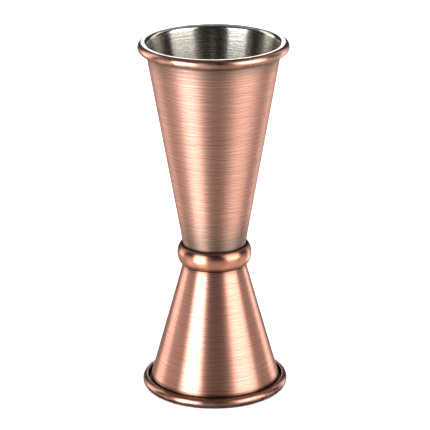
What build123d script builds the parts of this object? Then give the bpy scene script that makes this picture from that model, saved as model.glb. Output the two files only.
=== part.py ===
"""Double-ended bar jigger: two drawn cups back to back, with a ring round the waist.

Millimetres, +Z up along the axis. The origin is the middle of the lower rim plane,
so the jigger stands on Z = 0 on its small cup and the large cup opens upwards.
Each half section is drawn as (radius, depth), with depth 0 at the cup's own mouth.
"""

import os
from math import cos, pi, radians, sin, tan

from build123d import *

# Overall
HEIGHT = 114.0              # lower rim plane to upper rim plane
RING_HEIGHT = 44.8          # middle of the waist ring above the lower rim plane
SHEET = 0.9                 # thickness of the cup sheet

# Rolled rims: the sheet curls outwards, and its raw edge stops facing the waist
CURL_RADIUS = 1.6           # outside of the curl
RIM_LAND_DEPTH = 0.03       # worn off each rim, which leaves a narrow flat land

# Cups: the rim radius is taken outside the curl, the half angle between wall and axis
LARGE_RIM_RADIUS = 23.65
LARGE_HALF_ANGLE = 9.93
SMALL_RIM_RADIUS = 23.35
SMALL_HALF_ANGLE = 15.45
FLOOR_CORNER_RADIUS = 3.0   # outside of the sheet, between floor and wall

# Brazed joint between the two floors
BRAZE_THICKNESS = 0.3
BRAZE_RADIUS = 6.3

# Waist ring: an oval section that both cups seat in
RING_SECTION_RADIUS = 9.85  # middle of the section to the axis
RING_HALF_WIDTH = 2.05
RING_HALF_HEIGHT = 3.5
RING_BORE_RADIUS = 9.25     # plain bore between the two seats
RING_EDGE_ROUND = 0.35      # leaves a fine groove beside each cup


class CupProfile:
    """Where one cup's arcs and straight runs meet."""

    def __init__(self, rim_radius, half_angle, depth):
        self.depth = depth
        self.angle = radians(half_angle)
        self.curl = (rim_radius - CURL_RADIUS, CURL_RADIUS - RIM_LAND_DEPTH)
        corner_depth = depth - FLOOR_CORNER_RADIUS
        corner_radius = self.wall_radius(corner_depth) - FLOOR_CORNER_RADIUS / cos(self.angle)
        self.corner = (corner_radius, corner_depth)

    def wall_radius(self, depth):
        """Radius of the wall's outer face, carried on as a plain cone."""
        radius, tangent_depth = polar(self.curl, CURL_RADIUS - SHEET, pi + self.angle)
        return radius - (depth - tangent_depth) * tan(self.angle)

    def curl_arc(self, radius):
        """Three points on the curl, from the wall round the rim to the raw edge."""
        return arc_points(self.curl, radius, self.angle - pi, pi / 2)

    def corner_arc(self, radius):
        """Three points on the floor corner, from the wall to the floor."""
        return arc_points(self.corner, radius, self.angle, pi / 2)


def polar(centre, radius, turn):
    """The point at this turn round a centre: 0 is outwards, pi / 2 is towards the floor."""
    return (centre[0] + radius * cos(turn), centre[1] + radius * sin(turn))


def arc_points(centre, radius, start, end):
    """The first, middle and last point of an arc."""
    return [polar(centre, radius, turn) for turn in (start, (start + end) / 2, end)]


def upside_down(section):
    """A half section of the large cup, turned so that its mouth is at the top."""
    return Pos(0, HEIGHT) * mirror(section, about=Plane.XZ)


def revolved(section):
    """The solid that a half section makes round the Z axis."""
    return revolve(Plane.XZ * section, axis=Axis.Z)


def cup_section(profile):
    """The sheet of one cup: closed floor, corner, straight wall and rolled rim."""
    outer_curl = profile.curl_arc(CURL_RADIUS)
    inner_curl = profile.curl_arc(CURL_RADIUS - SHEET)
    outer_corner = profile.corner_arc(FLOOR_CORNER_RADIUS)
    inner_corner = profile.corner_arc(FLOOR_CORNER_RADIUS - SHEET)
    sheet = make_face([
        Polyline(inner_corner[2], (0, profile.depth - SHEET), (0, profile.depth), outer_corner[2]),
        ThreePointArc(*outer_corner),
        Line(outer_corner[0], inner_curl[0]),
        ThreePointArc(*inner_curl),
        Line(inner_curl[2], outer_curl[2]),
        ThreePointArc(*outer_curl),
        Line(outer_curl[0], inner_corner[0]),
        ThreePointArc(*inner_corner),
    ])
    worn_off = Pos(profile.curl[0], -RIM_LAND_DEPTH) * Rectangle(CURL_RADIUS, 2 * RIM_LAND_DEPTH)
    return sheet - worn_off


def cup_outline(profile):
    """The outer form of one cup as a filled half section, with no curl."""
    corner = profile.corner_arc(FLOOR_CORNER_RADIUS)
    return make_face([
        Polyline(corner[2], (0, profile.depth), (0, 0), (profile.wall_radius(0), 0), corner[0]),
        ThreePointArc(*corner),
    ])


def ring_section(small, large):
    """The oval of the waist ring, cut to seat on both cups."""
    oval = Pos(RING_SECTION_RADIUS, RING_HEIGHT) * Ellipse(RING_HALF_WIDTH, RING_HALF_HEIGHT)
    bore = Pos(0, RING_HEIGHT) * Rectangle(2 * RING_BORE_RADIUS, HEIGHT)
    seated = oval - bore - cup_outline(small) - upside_down(cup_outline(large))
    by_height = seated.vertices().sort_by(Axis.Y)
    return fillet([by_height[0], by_height[-1]], RING_EDGE_ROUND)


def make_parts():
    """Every piece in its place, by name."""
    floor_gap = BRAZE_THICKNESS / 2
    small = CupProfile(SMALL_RIM_RADIUS, SMALL_HALF_ANGLE, RING_HEIGHT - floor_gap)
    large = CupProfile(LARGE_RIM_RADIUS, LARGE_HALF_ANGLE, HEIGHT - RING_HEIGHT - floor_gap)
    return {
        "small_cup": revolved(cup_section(small)),
        "large_cup": revolved(upside_down(cup_section(large))),
        "floor_braze": Pos(0, 0, RING_HEIGHT) * Cylinder(BRAZE_RADIUS, BRAZE_THICKNESS),
        "waist_ring": revolved(ring_section(small, large)),
    }


os.makedirs("parts", exist_ok=True)
for name, shape in make_parts().items():
    export_step(shape, f"parts/{name}.step")
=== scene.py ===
"""Looks of the double-ended bar jigger: copper-plated outside, bare steel inside.

Metres, +Z up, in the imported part's own frame. The cups and the waist ring are turned round the
Z axis from half sections. A half section is a list of runs, each with its own finish.
"""

from math import acos, ceil, cos, pi, radians, sin, tan

import bmesh
import bpy
from mathutils import Matrix, Vector


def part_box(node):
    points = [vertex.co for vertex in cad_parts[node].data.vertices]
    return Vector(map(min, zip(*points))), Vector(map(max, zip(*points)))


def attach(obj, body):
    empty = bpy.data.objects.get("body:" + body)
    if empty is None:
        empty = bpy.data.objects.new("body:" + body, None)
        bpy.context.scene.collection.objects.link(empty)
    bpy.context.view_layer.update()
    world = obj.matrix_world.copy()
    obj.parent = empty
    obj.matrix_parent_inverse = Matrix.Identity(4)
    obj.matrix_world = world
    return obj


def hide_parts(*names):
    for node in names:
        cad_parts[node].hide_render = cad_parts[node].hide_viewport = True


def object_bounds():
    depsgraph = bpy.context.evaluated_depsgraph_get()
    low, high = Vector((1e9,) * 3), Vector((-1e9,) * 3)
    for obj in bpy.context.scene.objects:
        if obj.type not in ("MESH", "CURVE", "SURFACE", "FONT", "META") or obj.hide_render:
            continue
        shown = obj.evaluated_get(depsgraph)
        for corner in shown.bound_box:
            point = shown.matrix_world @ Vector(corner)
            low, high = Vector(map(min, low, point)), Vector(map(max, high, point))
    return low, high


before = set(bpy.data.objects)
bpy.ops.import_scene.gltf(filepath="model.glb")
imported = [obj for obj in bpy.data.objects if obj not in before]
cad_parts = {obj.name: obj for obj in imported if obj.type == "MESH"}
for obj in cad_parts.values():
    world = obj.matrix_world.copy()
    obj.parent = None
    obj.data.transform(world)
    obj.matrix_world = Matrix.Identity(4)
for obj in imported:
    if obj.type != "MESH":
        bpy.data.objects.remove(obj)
cad_low, cad_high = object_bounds()

MM = 0.001
HEIGHT = cad_high.z

# Cup sheet, as in the CAD model
SHEET = 0.9 * MM
CURL_RADIUS = 1.6 * MM
LAND_DEPTH = 0.03 * MM
CORNER_RADIUS = 3.0 * MM
LARGE_HALF_ANGLE = radians(9.93)
SMALL_HALF_ANGLE = radians(15.45)

# Waist ring, as in the CAD model
RING_BORE_RADIUS = 9.25 * MM
RING_HALF_WIDTH = 2.05 * MM
RING_HALF_HEIGHT = 3.5 * MM
RING_EDGE_ROUND = 0.35 * MM

# Waist ring, where the cups hide it
RING_GROOVE = 0.12 * MM     # gap to the cup wall under each rounded edge
RING_SEAT_END = 1.5 * MM    # from the ring's middle to the end of each seat
RING_BORE_END = 1.2 * MM    # from the ring's middle to each end of the bore

# Mesh
TURN_STEPS = 256            # round the axis
ARC_STEP = radians(7.5)     # along the arcs of a section
WALL_STEP = 1.5 * MM        # along its straight runs


# Sections -----------------------------------------------------------------------------

def arc(centre, radius, start, end):
    """Points on an arc, both ends included. Turn 0 is away from the axis."""
    count = max(2, ceil(abs(end - start) / ARC_STEP))
    turns = [start + (end - start) * i / count for i in range(count + 1)]
    return [(centre[0] + radius * cos(t), centre[1] + radius * sin(t)) for t in turns]


def straight(start, end):
    """Points on a straight run, both ends included."""
    a, b = Vector(start), Vector(end)
    count = max(1, ceil((b - a).length / WALL_STEP))
    return [tuple(a.lerp(b, i / count)) for i in range(count + 1)]


def cup_runs(rim_radius, half_angle, depth):
    """One cup's half section as (finish, points), from its outer floor round to its inner floor.

    A point is (radius, depth below the mouth).
    """
    curl = (rim_radius - CURL_RADIUS, CURL_RADIUS - LAND_DEPTH)
    toward_wall = half_angle - pi
    inner_curl = arc(curl, CURL_RADIUS - SHEET, toward_wall, pi / 2)
    corner_depth = depth - CORNER_RADIUS
    face_radius = inner_curl[0][0] - (corner_depth - inner_curl[0][1]) * tan(half_angle)
    corner = (face_radius - CORNER_RADIUS / cos(half_angle), corner_depth)
    outer_corner = arc(corner, CORNER_RADIUS, pi / 2, half_angle)
    inner_corner = arc(corner, CORNER_RADIUS - SHEET, half_angle, pi / 2)
    land_turn = acos(curl[1] / CURL_RADIUS)
    outer_curl = arc(curl, CURL_RADIUS, pi / 2, land_turn - pi / 2)
    mouth_curl = arc(curl, CURL_RADIUS, -land_turn - pi / 2, toward_wall)
    return [
        ("outside", straight((0, depth), outer_corner[0])),
        ("outside", outer_corner),
        ("outside", straight(outer_corner[-1], inner_curl[0])),
        ("slot", inner_curl),
        ("edge", straight(inner_curl[-1], outer_curl[0])),
        ("bead", outer_curl),
        ("rim", straight(outer_curl[-1], mouth_curl[0])),
        ("rim", mouth_curl),
        ("inside", straight(mouth_curl[-1], inner_corner[0])),
        ("inside", inner_corner),
        ("inside", straight(inner_corner[-1], (0, depth - SHEET))),
    ]


def ring_runs(outer_radius, middle_height, lower_wall, upper_wall):
    """The waist ring's half section: an oval, cut by its bore and by both cup walls.

    Each wall is a function from height to radius.
    """
    centre = outer_radius - RING_HALF_WIDTH

    def oval(turn):
        return (centre + RING_HALF_WIDTH * cos(turn), middle_height + RING_HALF_HEIGHT * sin(turn))

    def outside_wall(point):
        wall = upper_wall if point[1] > middle_height else lower_wall
        return point[0] > wall(point[1]) + RING_EDGE_ROUND

    def lip_and_seat(wall, edge, side):
        """Where the edge of the face turns in beside a cup wall, and where its seat there ends."""
        lip = (wall(edge[1]) + RING_GROOVE, edge[1] - side * RING_EDGE_ROUND)
        seat_height = middle_height + side * RING_SEAT_END
        return lip, (wall(seat_height), seat_height)

    turns = [radians(t) for t in range(-120, 121, 3)]
    face = [oval(t) for t in turns if outside_wall(oval(t))]
    low_lip, low_seat = lip_and_seat(lower_wall, face[0], -1)
    high_lip, high_seat = lip_and_seat(upper_wall, face[-1], 1)
    bore_low = (RING_BORE_RADIUS, middle_height - RING_BORE_END)
    bore_high = (RING_BORE_RADIUS, middle_height + RING_BORE_END)
    return [("outside", [low_lip, *face, high_lip, high_seat, bore_high, bore_low, low_seat, low_lip])]


def turned_piece(name, runs, finishes, painted_shading=None, closed=False):
    """A mesh turned round Z from a half section of (finish, [(radius, height), ...]) runs.

    Each point keeps its distance along the section as the attribute "run", and in a second
    attribute the painted shade that its finish gets at its height. A closed section ends where it
    began.
    """
    points, kinds = [runs[0][1][0]], []
    for finish, run in runs:
        for point in run[1:]:
            points.append(point)
            kinds.append(finish)
    if closed:
        points.pop()
    mesh = bpy.data.meshes.new(name)
    bm = bmesh.new()
    along = bm.verts.layers.float.new("run")
    painted_shade = bm.verts.layers.float.new("painted_shade")
    painted_shading = painted_shading or {}
    rings, travelled = [], 0.0
    for i, (radius, height) in enumerate(points):
        if i:
            travelled += (Vector(points[i]) - Vector(points[i - 1])).length
        count = 1 if radius == 0 else TURN_STEPS
        shade_here = painted_shading[kinds[i - 1]](height) if i and kinds[i - 1] in painted_shading else 0.0
        ring = []
        for step in range(count):
            turn = 2 * pi * step / TURN_STEPS
            vert = bm.verts.new((radius * cos(turn), radius * sin(turn), height))
            vert[along] = travelled
            vert[painted_shade] = shade_here
            ring.append(vert)
        rings.append(ring)
    if closed:
        rings.append(rings[0])
    for finish, lower, upper in zip(kinds, rings, rings[1:]):
        for step in range(TURN_STEPS):
            following = (step + 1) % TURN_STEPS
            corners = [lower[step % len(lower)], lower[following % len(lower)],
                       upper[following % len(upper)], upper[step % len(upper)]]
            face = bm.faces.new(dict.fromkeys(corners))
            face.material_index = list(finishes).index(finish)
            face.smooth = True
    bmesh.ops.recalc_face_normals(bm, faces=bm.faces)
    bm.to_mesh(mesh)
    bm.free()
    for material in finishes.values():
        mesh.materials.append(material)
    piece = bpy.data.objects.new(name, mesh)
    bpy.context.scene.collection.objects.link(piece)
    return piece


# Materials ----------------------------------------------------------------------------

class Nodes:
    """A material, with short ways to add and link its shader nodes."""

    def __init__(self, name):
        self.material = bpy.data.materials.new(name)
        self.material.use_nodes = True
        self.tree = self.material.node_tree
        self.shader = self.tree.nodes["Principled BSDF"]
        self.place = self.add("ShaderNodeTexCoord").outputs["Object"]
        self.run = self.attribute("run")

    def add(self, kind, inputs=None, **settings):
        node = self.tree.nodes.new(kind)
        for key, value in settings.items():
            setattr(node, key, value)
        for key, value in (inputs or {}).items():
            if isinstance(value, bpy.types.NodeSocket):
                self.tree.links.new(value, node.inputs[key])
            else:
                node.inputs[key].default_value = value
        return node

    def attribute(self, name):
        return self.add("ShaderNodeAttribute", attribute_name=name).outputs["Fac"]

    def math(self, operation, a, b=0.0, clamp=False):
        node = self.add("ShaderNodeMath", {0: a, 1: b}, operation=operation, use_clamp=clamp)
        return node.outputs[0]

    def vector(self, operation, a, b=(0, 0, 0)):
        return self.add("ShaderNodeVectorMath", {0: a, 1: b}, operation=operation).outputs[0]

    def mix(self, a, b, share):
        """Value a with that share of it given up to value b."""
        return self.math("ADD", self.math("MULTIPLY", a, 1 - share), self.math("MULTIPLY", b, share))

    def colour_mix(self, factor, a, b):
        """From colour a to colour b as the factor goes from 0 to 1: (red, green, blue) or sockets."""
        a, b = (c if isinstance(c, bpy.types.NodeSocket) else (*c, 1) for c in (a, b))
        return self.add("ShaderNodeMix", {0: factor, 6: a, 7: b}, data_type="RGBA").outputs[2]

    def ramp(self, value, low, high, to_low=0.0, to_high=1.0):
        inputs = {"Value": value, "From Min": low, "From Max": high,
                  "To Min": to_low, "To Max": to_high}
        return self.add("ShaderNodeMapRange", inputs).outputs[0]

    def noise(self, vector, scale=1.0, detail=2.0, roughness=0.5):
        inputs = {"Vector": vector, "Scale": scale, "Detail": detail, "Roughness": roughness}
        return self.add("ShaderNodeTexNoise", inputs).outputs[0]

    def brush_marks(self, length, width, slant=0.0, shift=0.0, detail=2.0):
        """Noise drawn out round the axis into marks length degrees long and width metres wide.

        They wander along the section by up to slant metres, and all of them are shifted by shift.
        """
        around = self.vector("NORMALIZE", self.vector("MULTIPLY", self.place, (1, 1, 0)))
        stretched = self.vector("SCALE", around)
        stretched.node.inputs["Scale"].default_value = 1 / radians(length)
        wave = self.math("MULTIPLY", self.noise(around, 1.5, detail=0.0), slant)
        offset = self.math("ADD", wave, shift)
        height = self.math("MULTIPLY", self.math("ADD", self.run, offset), 1 / width)
        lift = self.add("ShaderNodeCombineXYZ", {2: height}).outputs[0]
        return self.noise(self.vector("ADD", stretched, lift), detail=detail)

    def scratches(self, length, width):
        """Brush marks about a middle of 0.5, without the broad bands of plain noise."""
        here = self.brush_marks(length, width, detail=1.0)
        beside = self.brush_marks(length, width, shift=width, detail=1.0)
        return self.math("ADD", self.math("SUBTRACT", here, beside), 0.5)

    def set(self, **values):
        """Set or link inputs of the shader, with _ for each space in their names."""
        for key, value in values.items():
            socket = self.shader.inputs[key.replace("_", " ")]
            if isinstance(value, bpy.types.NodeSocket):
                self.tree.links.new(value, socket)
            else:
                socket.default_value = value

    def set_metal(self, colour, roughness, painted_dark):
        """Metal that turns to a painted near-black shade, matt and without any gloss, as its last
        argument goes from 0 to 1.
        """
        matt = self.ramp(painted_dark, 0.5, 0.9, 0.0, 0.9)
        self.set(Base_Color=self.colour_mix(self.ramp(painted_dark, 0.0, 0.85), colour, PAINTED_DARK_COLOUR))
        self.set(Roughness=self.math("MAXIMUM", roughness, matt))
        self.set(Metallic=self.ramp(painted_dark, 0.88, 1.0, 1.0, 0.0), Specular_IOR_Level=0.0)

    def brush_round_axis(self, anisotropy):
        """Stretch highlights across brush marks that run round the Z axis."""
        self.set(Anisotropic=anisotropy, Anisotropic_Rotation=0.25)
        tangent = self.add("ShaderNodeTangent", direction_type="RADIAL", axis="Z")
        self.set(Tangent=tangent.outputs[0])

    def relief(self, height, depth):
        bump = self.add("ShaderNodeBump", {"Height": height, "Strength": 1.0, "Distance": depth})
        self.set(Normal=bump.outputs[0])


# The near-black of painted shade in crevices and grooves, and of the ring's painted dark reflection
PAINTED_DARK_COLOUR = (0.006, 0.004, 0.003)

# Brush marks of the brushed metals: degrees round the axis, and width
FINE_MARKS = (9, 0.29 * MM)
MEDIUM_MARKS = (45, 0.37 * MM)
LONG_MARKS = (120, 1.2 * MM)

SHADE_CONTRAST = 0.62        # the darkest marks in metal under painted shade, as a share of its colour
TONE_RANGE = (0.38, 0.62)   # where most of a noise's values lie


def brushed_metal(name, bright, dull, painted_shade, roughness, anisotropy, mark_depth,
                  spread=0.1, speckle=0.15):
    """Metal brushed round the axis, with brush marks in its colour, its gloss and its relief.

    The smaller the spread, the stronger the marks. Speckle is the share of specks among them.
    The mesh attribute of painted shade is up to 0.5 where it makes the metal darker and duller, and 1
    where it paints a crevice near-black.
    """
    n = Nodes(name)
    marks = n.mix(n.scratches(*FINE_MARKS), n.scratches(*MEDIUM_MARKS), 0.5)
    grain = n.mix(marks, n.noise(n.place, 2200.0), speckle)
    streak = n.ramp(grain, 0.5 - spread, 0.5 + spread)
    band = n.ramp(n.brush_marks(*LONG_MARKS, detail=1.0), 0.3, 0.7)
    tone = n.mix(streak, band, 0.14)
    # Painted shade: the metal darker and duller near the grooves and slots, near-black inside them
    shade_level = n.attribute("painted_shade")
    blotch = n.ramp(n.noise(n.place, 110.0, detail=3.0), 0.3, 0.6, 0.6, 1.0)
    shade_mix = n.math("MULTIPLY", n.ramp(shade_level, 0.0, 0.5), blotch, clamp=True)
    clean_colour = n.colour_mix(tone, dull, bright)
    shade_colour = n.colour_mix(tone, [SHADE_CONTRAST * c for c in painted_shade], painted_shade)
    gloss = n.math("SUBTRACT", tone, shade_mix)
    n.set_metal(n.colour_mix(shade_mix, clean_colour, shade_colour),
                n.ramp(gloss, -1.0, 1.0, roughness + 0.18, roughness - 0.06),
                painted_dark=n.ramp(shade_level, 0.55, 0.95))
    n.brush_round_axis(anisotropy)
    n.relief(marks, mark_depth)
    return n.material


def rolled_copper():
    """The bright bead of a rolled rim: smoother than the wall, with a few dark pits and with painted
    shade beside its mouth, its slot and where it stands.
    """
    n = Nodes("rolled_copper")
    marks = n.brush_marks(14, 0.5 * MM, detail=3.0)
    blotch = n.noise(n.place, 220.0, detail=4.0, roughness=0.6)
    cells = n.add("ShaderNodeTexVoronoi", {"Vector": n.place, "Scale": 800.0})
    pitted_cell = n.ramp(cells.outputs["Color"], 0.5, 0.6)
    pitted_patch = n.ramp(n.noise(n.place, 60.0), 0.46, 0.56)
    pitted = n.math("MULTIPLY", pitted_cell, pitted_patch)
    pit = n.math("MULTIPLY", n.ramp(cells.outputs["Distance"], 0.30, 0.12), pitted, clamp=True)
    tone = n.mix(marks, blotch, 0.5)
    copper_tone = n.colour_mix(n.ramp(tone, *TONE_RANGE), (0.43, 0.198, 0.135), (0.80, 0.425, 0.32))
    # Painted shade on the bead, blotchy, mixed toward the same dark as the pits
    painted_shade = n.math("MULTIPLY", n.attribute("painted_shade"), n.ramp(blotch, 0.3, 0.6, 0.8, 1.5))
    dark = n.math("MAXIMUM", pit, painted_shade)
    n.set(Base_Color=n.colour_mix(dark, copper_tone, (0.10, 0.04, 0.025)), Metallic=1.0)
    n.set(Roughness=n.ramp(n.math("ADD", blotch, pit), 0.35, 1.2, 0.26, 0.55))
    n.brush_round_axis(0.5)
    n.relief(n.math("SUBTRACT", tone, pit), 0.015 * MM)
    return n.material


def polished_copper():
    """The waist ring: turned, then polished, with soft waves and fine hairlines left in it, and
    painted shade on its lower face and a painted dark reflection on its upper face.
    """
    n = Nodes("polished_copper")
    hairlines = n.brush_marks(30, 0.25 * MM, slant=0.4 * MM, detail=3.0)
    tone = n.mix(hairlines, n.noise(n.place, 160.0, detail=3.0), 0.6)
    copper_tone = n.colour_mix(n.ramp(tone, *TONE_RANGE), (0.82, 0.33, 0.195), (0.98, 0.44, 0.29))
    # The painted shade and the painted dark reflection turn the metal near-black and matt near the
    # grooves
    n.set_metal(copper_tone, n.ramp(tone, 0.35, 0.65, 0.30, 0.24), painted_dark=n.attribute("painted_shade"))
    n.brush_round_axis(0.3)
    n.relief(tone, 0.02 * MM)
    return n.material


def polished_steel():
    """The mouth of each cup, polished where the sheet turns outward."""
    n = Nodes("polished_steel")
    hairlines = n.brush_marks(40, 0.2 * MM, detail=3.0)
    tone = n.mix(hairlines, n.noise(n.place, 300.0, detail=3.0), 0.4)
    steel_tone = n.colour_mix(n.ramp(tone, *TONE_RANGE), (0.24, 0.22, 0.19), (0.68, 0.64, 0.59))
    n.set(Base_Color=steel_tone, Metallic=1.0, Roughness=n.ramp(tone, 0.35, 0.65, 0.26, 0.15))
    n.brush_round_axis(0.5)
    n.relief(tone, 0.01 * MM)
    return n.material


def slot_oxide_and_shade():
    """Dark oxide inside the rolled rim, where no polish reaches, made near-black as painted shade in
    the slot.
    """
    n = Nodes("slot_oxide_and_shade")
    grain = n.noise(n.place, 1500.0, detail=4.0)
    n.set(Base_Color=n.colour_mix(grain, (0.02, 0.010, 0.008), (0.07, 0.032, 0.024)))
    n.set(Metallic=1.0, Roughness=n.ramp(grain, 0.3, 0.7, 0.5, 0.75))
    n.relief(grain, 0.02 * MM)
    return n.material


def braze_metal():
    n = Nodes("braze_metal")
    grain = n.noise(n.place, 900.0, detail=3.0)
    n.set(Base_Color=n.colour_mix(grain, (0.55, 0.44, 0.24), (0.80, 0.68, 0.42)), Metallic=1.0)
    n.set(Roughness=n.ramp(grain, 0.3, 0.7, 0.35, 0.6))
    return n.material


def matt_grey(name, scale, darkest, lightest):
    """The nodes of a dull grey, slightly uneven, for the stage."""
    n = Nodes(name)
    grain = n.noise(n.place, scale)
    n.set(Base_Color=n.colour_mix(grain, [darkest] * 3, [lightest] * 3), Roughness=0.9)
    return n


# Pieces -------------------------------------------------------------------------------

WALL_RUN = 2                # which run of cup_runs is the straight outer wall


def wall_radius_at(runs):
    """The radius of a cup's outer wall at any height, from the straight run of its section."""
    wall = runs[WALL_RUN][1]
    (r0, z0), (r1, z1) = wall[0], wall[-1]
    return lambda z: r0 + (z - z0) * (r1 - r0) / (z1 - z0)


def upside_down(runs):
    return [(finish, [(r, HEIGHT - d) for r, d in points]) for finish, points in runs]


def shade_near(zones):
    """A function of height: how much painted shade the metal gets, from zones of (height, flat, reach,
    share).

    A zone has its full share within flat of its height, and fades to nothing over its reach.
    """
    def shade_at(height):
        shades = [share * (1 - max(0.0, abs(height - level) - flat) / reach)
                for level, flat, reach, share in zones]
        return max(0.0, *shades)

    return shade_at


satin = brushed_metal(
    "satin_copper", bright=(0.82, 0.435, 0.322), dull=(0.485, 0.246, 0.178), painted_shade=(0.44, 0.29, 0.228),
    roughness=0.53, anisotropy=0.79, mark_depth=0.002 * MM, spread=0.155)
brushed = brushed_metal(
    "brushed_copper", bright=(0.90, 0.455, 0.338), dull=(0.59, 0.262, 0.188), painted_shade=(0.34, 0.17, 0.12),
    roughness=0.42, anisotropy=0.92, mark_depth=0.002 * MM, spread=0.18)
steel = brushed_metal(
    "brushed_steel", bright=(0.56, 0.51, 0.44), dull=(0.19, 0.168, 0.14), painted_shade=(0.30, 0.27, 0.23),
    roughness=0.30, anisotropy=0.97, mark_depth=0.001 * MM, spread=0.15, speckle=0.5)
raw_edge = brushed_metal(
    "raw_edge", bright=(0.98, 0.86, 0.80), dull=(0.85, 0.70, 0.64), painted_shade=(0.5, 0.3, 0.25),
    roughness=0.22, anisotropy=0.5, mark_depth=0.001 * MM)
shared_finishes = {"bead": rolled_copper(), "slot": slot_oxide_and_shade(), "edge": raw_edge,
                   "rim": polished_steel(), "inside": steel}

small_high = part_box("small_cup")[1]
large_low, large_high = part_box("large_cup")
ring_low, ring_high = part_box("waist_ring")
small_runs = cup_runs(small_high.x, SMALL_HALF_ANGLE, small_high.z)
large_runs = upside_down(cup_runs(large_high.x, LARGE_HALF_ANGLE, HEIGHT - large_low.z))
ring_middle = (small_high.z + large_low.z) / 2
ring_section = ring_runs(ring_high.x, ring_middle,
                         wall_radius_at(small_runs), wall_radius_at(large_runs))

# Painted shade, near-black, in the slot behind each bead and in the grooves beside the ring, fading
# out near them; further zones darken and dull the metal near the beads and the ring
small_edge, large_edge = 2 * CURL_RADIUS, HEIGHT - 2 * CURL_RADIUS
half_slot = CURL_RADIUS / 2
half_groove = 0.45 * MM
# Small cup: painted shade below the ring's groove; on its bead, a painted dark reflection beside the
# slot and painted shade where it stands
small_painted_shading = {
    "outside": shade_near([
        (small_edge - half_slot, half_slot, 0.3 * MM, 1.0),         # in the slot
        (ring_low.z + half_groove, half_groove, 0.4 * MM, 1.0),     # in the groove
        (ring_low.z, 0, 1.2 * MM, 0.4),                             # below the groove
    ]),
    "bead": shade_near([
        (small_edge, 0, 1.3 * MM, 0.7),                             # beside the slot
        (0, 0, 0.6 * MM, 0.5),                                      # where it stands
    ]),
}
# Large cup: a painted dark line on its bead beside the mouth; below the bead and above the groove the
# metal is made darker and duller
large_painted_shading = {
    "outside": shade_near([
        (large_edge + half_slot, half_slot, 0.5 * MM, 1.0),         # in the slot
        (large_edge, 0, 5.5 * MM, 0.5),                             # below the bead
        (ring_high.z - half_groove, half_groove, 0.4 * MM, 1.0),    # in the groove
        (ring_high.z, 2 * MM, 11 * MM, 0.5),                        # above the groove
    ]),
    "bead": shade_near([
        (HEIGHT, 0, 1.1 * MM, 0.8),                                 # beside the mouth
        (large_edge, 0, 0.8 * MM, 0.8),                             # beside the slot
    ]),
}
# Ring: painted shade on its lower face above the lower groove, and a painted dark reflection on its
# upper face below the upper groove
ring_painted_shading = {
    "outside": shade_near([
        (ring_low.z, half_groove, 0.4 * MM, 1.0),                   # in the lower groove
        (ring_low.z, 0, 2 * MM, 0.75),                              # above it
        (ring_high.z, 0.05 * MM, 0.45 * MM, 1.0),                   # in the upper groove
        (ring_high.z, 0, 3.5 * MM, 0.82),                           # below it
    ]),
}

small_cup = turned_piece("small_cup_metal", small_runs,
                         {"outside": brushed, **shared_finishes}, small_painted_shading)
large_cup = turned_piece("large_cup_metal", large_runs,
                         {"outside": satin, **shared_finishes}, large_painted_shading)
waist_ring = turned_piece("waist_ring_metal", ring_section,
                          {"outside": polished_copper()}, ring_painted_shading, closed=True)
for piece, node, slot in ((small_cup, "small_cup", "copper_plated_steel"),
                          (large_cup, "large_cup", "copper_plated_steel"),
                          (waist_ring, "waist_ring", "polished_copper_plate")):
    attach(piece, "root")
    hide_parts(node)
braze_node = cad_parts["floor_braze"]
braze_node.data.materials.clear()
braze_node.data.materials.append(braze_metal())


# Stage --------------------------------------------------------------------------------

FLOOR_RADIUS = 1.6
FLOOR_MIDDLE = 0.2          # radius of its plain middle
SWEEP_RADIUS = 0.8
WALL_TOP = 3.0
CARD_RADIUS = 27 * MM
CARD_DROP = 0.2 * MM
PANEL_DISTANCE = 0.8
FLOOR_LIGHT_HEIGHT = 1.2
HORIZON_BLUR = 0.1          # the room's two greys meet within this sine of the horizon

CAMERA_DISTANCE = 0.7023
CAMERA_ELEVATION = 19.15    # degrees
CAMERA_ROLL = -0.26         # degrees
CAMERA_LENS = 185.1         # millimetres
CAMERA_SHIFT = (0.0018, 0.0008)


def add_floor():
    """A white studio floor that sweeps up into a wall all the way round."""
    white = matt_grey("studio_white", 30.0, 0.88, 0.90)
    white.set(Specular_IOR_Level=0.1)
    sweep = arc((FLOOR_RADIUS, SWEEP_RADIUS), SWEEP_RADIUS, -pi / 2, 0)
    runs = [("floor", [(0, 0), (FLOOR_MIDDLE, 0), (FLOOR_RADIUS, 0)]),
            ("floor", sweep),
            ("floor", [sweep[-1], (FLOOR_RADIUS + SWEEP_RADIUS, WALL_TOP)])]
    floor = turned_piece("floor", runs, {"floor": white.material})
    floor.visible_glossy = False
    floor.visible_shadow = False


def add_contact_card():
    """A small dark card under the base, which only the metal reflects, for the floor's own shade."""
    dark = matt_grey("dark_card", 300.0, 0.06, 0.08)
    runs = [("card", [(0, 0), (CARD_RADIUS, 0)])]
    card = turned_piece("contact_card", runs, {"card": dark.material})
    card.location.z = -CARD_DROP
    card.visible_camera = False
    card.visible_shadow = False
    card.visible_diffuse = False


def add_lamp(name, light):
    """Put a light in the scene, out of the camera's sight."""
    lamp = bpy.data.objects.new(name, light)
    bpy.context.scene.collection.objects.link(lamp)
    lamp.visible_camera = False
    return lamp


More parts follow.
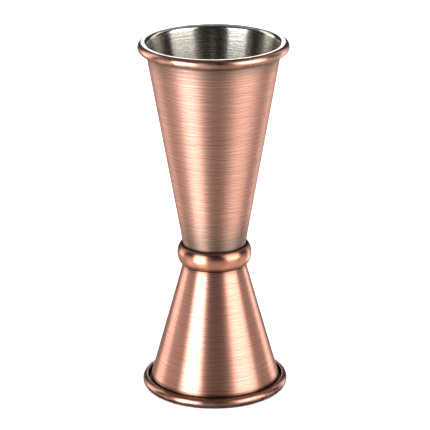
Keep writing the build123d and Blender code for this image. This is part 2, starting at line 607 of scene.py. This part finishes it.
def add_panel(name, azimuth, half_width, low, high, radiance, colour=(1, 1, 1)):
    """A soft upright panel facing the part, between two elevations seen from its middle.

    Azimuth 0 is the camera's side, positive to its right. Angles are in degrees.
    """
    light = bpy.data.lights.new(name, "AREA")
    light.shape = "RECTANGLE"
    middle = radians((low + high) / 2)
    light.size = 2 * PANEL_DISTANCE * tan(radians(half_width))
    light.size_y = 2 * PANEL_DISTANCE * tan(radians((high - low) / 2))
    light.energy = radiance * pi * light.size * light.size_y
    light.color = colour
    lamp = add_lamp(name, light)
    turn = radians(azimuth)
    toward = Vector((sin(turn) * cos(middle), -cos(turn) * cos(middle), sin(middle)))
    lamp.location = Vector((0, 0, HEIGHT / 2)) + PANEL_DISTANCE * toward
    lamp.rotation_mode = "QUATERNION"
    lamp.rotation_quaternion = (-toward).to_track_quat("-Z", "Y")


def add_floor_light(radiance):
    """A broad overhead light for the floor alone: the metal doesn't reflect it."""
    light = bpy.data.lights.new("floor_light", "AREA")
    light.shape = "DISK"
    light.size = 2 * FLOOR_RADIUS
    light.energy = radiance * pi * pi * FLOOR_RADIUS ** 2
    lamp = add_lamp("floor_light", light)
    lamp.location = (0, 0, FLOOR_LIGHT_HEIGHT)
    lamp.visible_glossy = False


def add_world(above, below):
    """A dim room: one grey above the horizon and another below it."""
    world = bpy.data.worlds.new("studio")
    bpy.context.scene.world = world
    world.use_nodes = True
    tree = world.node_tree
    place = tree.nodes.new("ShaderNodeTexCoord")
    split = tree.nodes.new("ShaderNodeSeparateXYZ")
    blend = tree.nodes.new("ShaderNodeMapRange")
    tree.links.new(place.outputs["Generated"], split.inputs[0])
    tree.links.new(split.outputs["Z"], blend.inputs["Value"])
    limits = {"From Min": -HORIZON_BLUR, "From Max": HORIZON_BLUR, "To Min": below, "To Max": above}
    for key, value in limits.items():
        blend.inputs[key].default_value = value
    tree.links.new(blend.outputs[0], tree.nodes["Background"].inputs["Strength"])
    tree.nodes["Background"].inputs["Color"].default_value = (1, 1, 1, 1)


def add_camera():
    """A long lens from the front, looking down at the middle of the axis."""
    data = bpy.data.cameras.new("camera")
    data.lens = CAMERA_LENS
    data.sensor_width = 36.0
    data.clip_start = 0.01
    data.clip_end = 10.0
    data.shift_x, data.shift_y = CAMERA_SHIFT
    camera = bpy.data.objects.new("camera", data)
    bpy.context.scene.collection.objects.link(camera)
    elevation = radians(CAMERA_ELEVATION)
    back = Vector((0, -cos(elevation), sin(elevation)))
    camera.location = Vector((0, 0, HEIGHT / 2)) + back * CAMERA_DISTANCE
    camera.rotation_mode = "QUATERNION"
    look = (-back).to_track_quat("-Z", "Y")
    roll = Matrix.Rotation(radians(CAMERA_ROLL), 4, "Z").to_quaternion()
    camera.rotation_quaternion = look @ roll
    bpy.context.scene.camera = camera


add_floor()
add_contact_card()
add_panel("left_key", -45, 17, -20, 32, 8.0, (0.87, 0.94, 1.0))
add_panel("left_low", -42, 12, -60, -20, 0.6)
add_panel("left_side", -84, 12, -45, 4, 0.45)
add_panel("right_fill", 60, 22, -3, 47, 4.9, (0.96, 0.98, 1.0))
add_panel("right_low", 56, 18, -60, -3, 0.25)
add_panel("right_side", 100, 12, -45, 0, 0.3)
add_panel("left_back", -119, 13, -12, 45, 2.6)
add_panel("right_back", 131, 9, -30, 45, 1.9)
add_panel("rear", 183, 9, 3, 42, 3.0)
add_panel("overhead", 180, 40, 45, 100, 0.4)
add_floor_light(2.0)
add_world(0.03, 0.38)
add_camera()
bpy.context.scene.view_settings.view_transform = "Standard"
